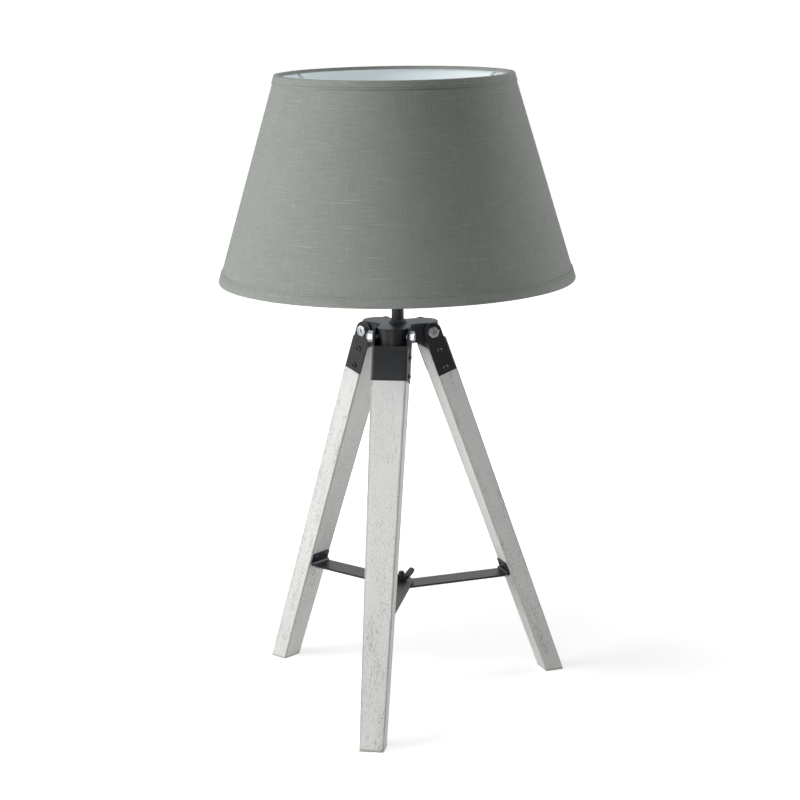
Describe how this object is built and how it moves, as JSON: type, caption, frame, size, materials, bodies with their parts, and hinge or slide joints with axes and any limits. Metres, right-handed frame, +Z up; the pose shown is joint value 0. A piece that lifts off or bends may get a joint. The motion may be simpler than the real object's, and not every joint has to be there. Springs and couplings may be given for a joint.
{
  "type": "tripod table lamp",
  "caption": "Table lamp with splayed wooden tripod legs hinged on a metal hub, a bolted spreader, and a conical fabric shade.",
  "frame": {"origin": "on the floor, on the lamp's axis", "axes": "+Z up along the stem, the front leg points along -Y, +X to the right"},
  "size_m": [0.351, 0.3512, 0.6275],
  "materials": {
    "whitewashed_wood": "whitewashed, open grain, matt",
    "zinc_steel": "bright zinc",
    "screw_steel": "blackened",
    "black_metal": "satin black powder coat",
    "brass_parts": "plain",
    "holder_plastic": "semi gloss white",
    "white_wire": "white powder coat",
    "shade_cloth": "slub linen",
    "shade_lining": "white film",
    "hem_tape": "folded linen tape"
  },
  "bodies": {
    "tripod": {"bracket_screws_front": "screw_steel", "bracket_screws_left": "screw_steel", "bracket_screws_right": "screw_steel", "centre_contact": "brass_parts", "cord_bush": "holder_plastic", "hinge_bolt_front": "zinc_steel", "hinge_bolt_left": "zinc_steel", "hinge_bolt_right": "zinc_steel", "hinge_nut_front": "zinc_steel", "hinge_nut_left": "zinc_steel", "hinge_nut_right": "zinc_steel", "hinge_washer_front": "zinc_steel", "hinge_washer_left": "zinc_steel", "hinge_washer_right": "zinc_steel", "hub": "black_metal", "hub_lock_nut": "zinc_steel", "hub_washer": "zinc_steel", "lampholder_cap": "holder_plastic", "lampholder_insert": "holder_plastic", "lampholder_sleeve": "holder_plastic", "leaf_screws_front": "screw_steel", "leaf_screws_left": "screw_steel", "leaf_screws_right": "screw_steel", "leg_bracket_front": "black_metal", "leg_bracket_left": "black_metal", "leg_bracket_right": "black_metal", "leg_front": "whitewashed_wood", "leg_left": "whitewashed_wood", "leg_right": "whitewashed_wood", "side_contact": "brass_parts", "spreader_arm_front": "black_metal", "spreader_arm_left": "black_metal", "spreader_arm_right": "black_metal", "spreader_bolt": "black_metal", "spreader_leaf_front": "black_metal", "spreader_leaf_left": "black_metal", "spreader_leaf_right": "black_metal", "spreader_pin_front": "black_metal", "spreader_pin_left": "black_metal", "spreader_pin_right": "black_metal", "spreader_washer": "black_metal", "stem_collar": "black_metal", "stem_tie_rod": "zinc_steel", "stem_tube": "black_metal"},
    "wing_nut": {"wing_nut": "black_metal"},
    "shade": {"shade_fabric": "shade_cloth", "shade_fitter": "white_wire", "shade_frame": "white_wire", "shade_liner": "shade_lining", "shade_tape_bottom": "hem_tape", "shade_tape_top": "hem_tape", "shade_wire_bottom": "white_wire", "shade_wire_top": "white_wire"},
    "shade_ring": {"shade_ring": "holder_plastic"}
  },
  "joints": [
    {"name": "wing_nut_turn", "type": "hinge", "parent": "tripod", "child": "wing_nut", "pos_m": [0, 0, 0.1172], "axis": [0, 0, 1], "continuous": true},
    {"name": "shade_lift", "type": "slide", "parent": "tripod", "child": "shade", "axis": [0, 0, 1], "range_m": [0, 0.06]},
    {"name": "shade_ring_turn", "type": "hinge", "parent": "shade", "child": "shade_ring", "pos_m": [0, 0, 0.495], "axis": [0, 0, 1], "continuous": true}
  ]
}
